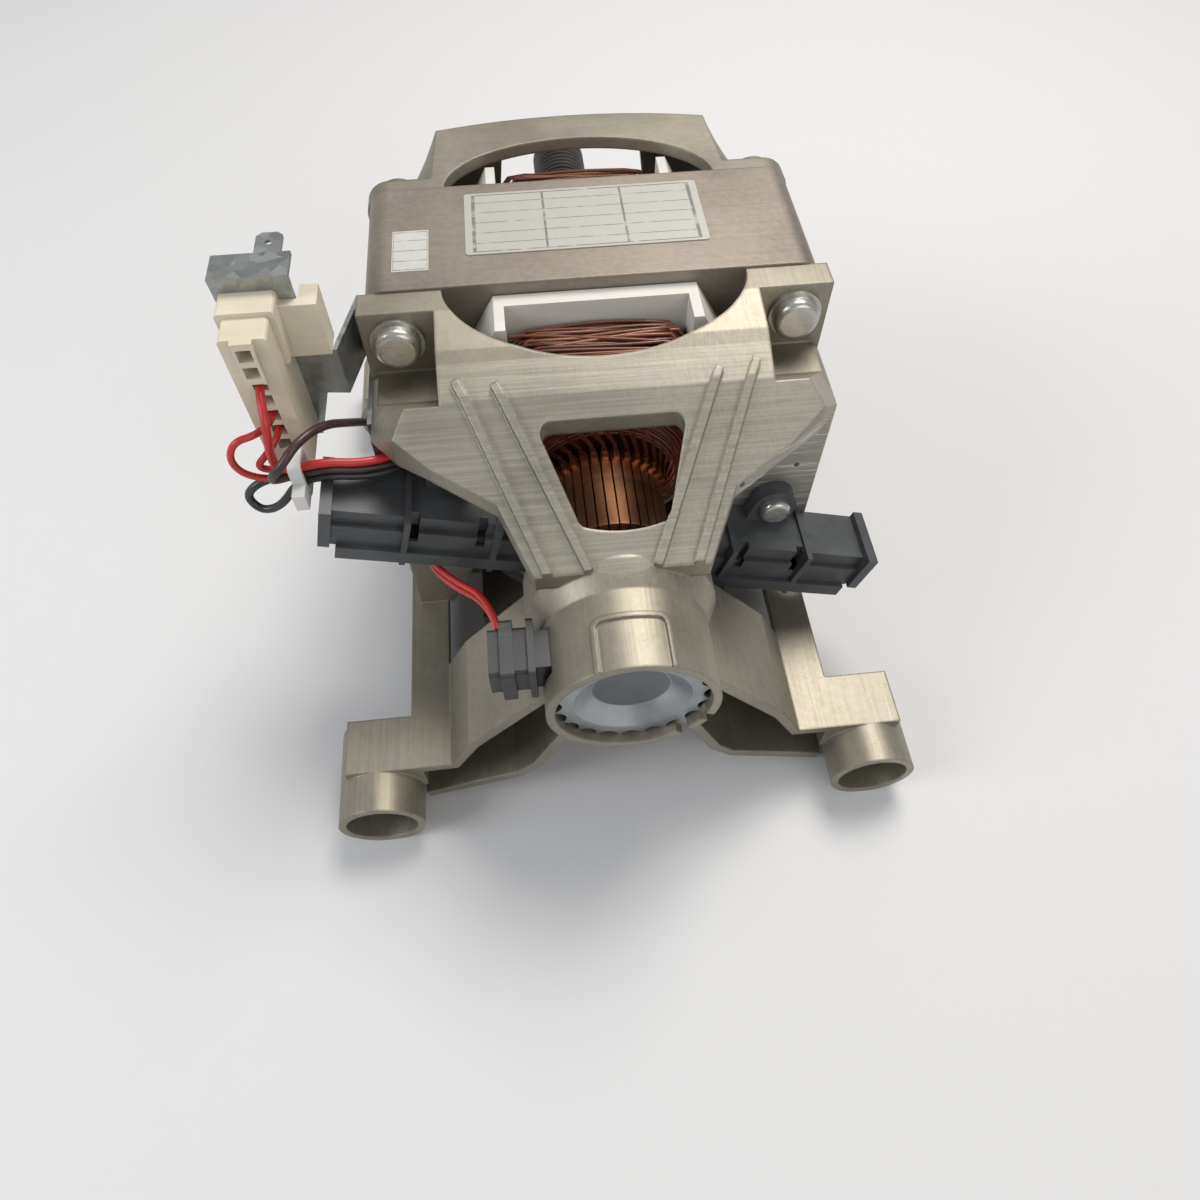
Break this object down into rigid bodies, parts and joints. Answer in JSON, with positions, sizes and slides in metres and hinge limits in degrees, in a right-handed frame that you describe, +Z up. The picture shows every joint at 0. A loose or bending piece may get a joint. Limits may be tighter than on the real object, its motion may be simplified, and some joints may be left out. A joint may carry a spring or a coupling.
{
  "type": "washing machine motor",
  "caption": "Brushed universal washing machine motor with die-cast bells, four mounting lugs, a ribbed belt pulley and a side connector bracket.",
  "frame": {"origin": "on the shaft axis, at the middle of the belt pulley's length", "axes": "+Y along the shaft out of the pulley's end, +Z up away from the mounting lugs, +X to the side opposite the connector"},
  "size_m": [0.1823, 0.2524, 0.1407],
  "materials": {
    "cast_aluminium": "die-cast, brushed",
    "lamination_steel": "stacked sheet",
    "zinc_steel": "zinc plated",
    "galvanised_steel": "galvanised",
    "bearing_steel": "ground",
    "pulley_steel": "dark, machined",
    "spring_steel": "drawn",
    "white_nylon": "moulded",
    "ivory_plastic": "moulded",
    "black_plastic": "moulded, satin",
    "enamelled_wire": "varnished winding",
    "copper": "turned",
    "tinned_brass": "pressed",
    "carbon": "pressed carbon",
    "magnet": "sintered",
    "red_insulation": "extruded",
    "black_insulation": "extruded",
    "dark_insulation": "extruded",
    "label_film": "blank label"
  },
  "bodies": {
    "motor": {"front_bell": "cast_aluminium", "rear_bell": "cast_aluminium", "stator_core": "lamination_steel", "stator_screws": "zinc_steel", "brush_holder_screws": "zinc_steel", "bracket_screw": "zinc_steel", "bearing_cap": "galvanised_steel", "connector_bracket": "galvanised_steel", "front_bearing_outer_ring": "bearing_steel", "front_bearing_balls": "bearing_steel", "rear_bearing_outer_ring": "bearing_steel", "rear_bearing_balls": "bearing_steel", "left_brush_spring": "spring_steel", "right_brush_spring": "spring_steel", "coil_frame_top": "white_nylon", "coil_frame_bottom": "white_nylon", "cable_tie": "white_nylon", "connector_housing": "ivory_plastic", "tacho_coil": "ivory_plastic", "left_brush_holder": "black_plastic", "right_brush_holder": "black_plastic", "tacho_plug": "black_plastic", "field_coil_top": "enamelled_wire", "field_coil_bottom": "enamelled_wire", "connector_terminals": "tinned_brass", "red_lead": "red_insulation", "tacho_lead_1": "red_insulation", "tacho_lead_2": "red_insulation", "black_lead": "black_insulation", "dark_lead": "dark_insulation", "rating_plate": "label_film", "small_label": "label_film"},
    "rotor": {"shaft": "bearing_steel", "armature_core": "lamination_steel", "armature_winding": "enamelled_wire", "commutator_hub": "black_plastic", "commutator_bars": "copper", "belt_pulley": "pulley_steel", "tacho_magnet": "magnet", "front_bearing_inner_ring": "bearing_steel", "rear_bearing_inner_ring": "bearing_steel"},
    "left_brush": {"left_brush": "carbon"},
    "right_brush": {"right_brush": "carbon"}
  },
  "joints": [
    {"name": "shaft_spin", "type": "hinge", "parent": "motor", "child": "rotor", "pos_m": [0, 0, 0], "axis": [0, 1, 0], "continuous": true},
    {"name": "left_brush_slide", "type": "slide", "parent": "motor", "child": "left_brush", "axis": [-0.9613, 0, 0.2756], "range_m": [0, 0.012], "stiffness_N_per_m": 60, "springref_m": -0.03, "deforming": ["left_brush_spring"]},
    {"name": "right_brush_slide", "type": "slide", "parent": "motor", "child": "right_brush", "axis": [0.9613, 0, -0.2756], "range_m": [0, 0.012], "stiffness_N_per_m": 60, "springref_m": -0.03, "deforming": ["right_brush_spring"]}
  ]
}
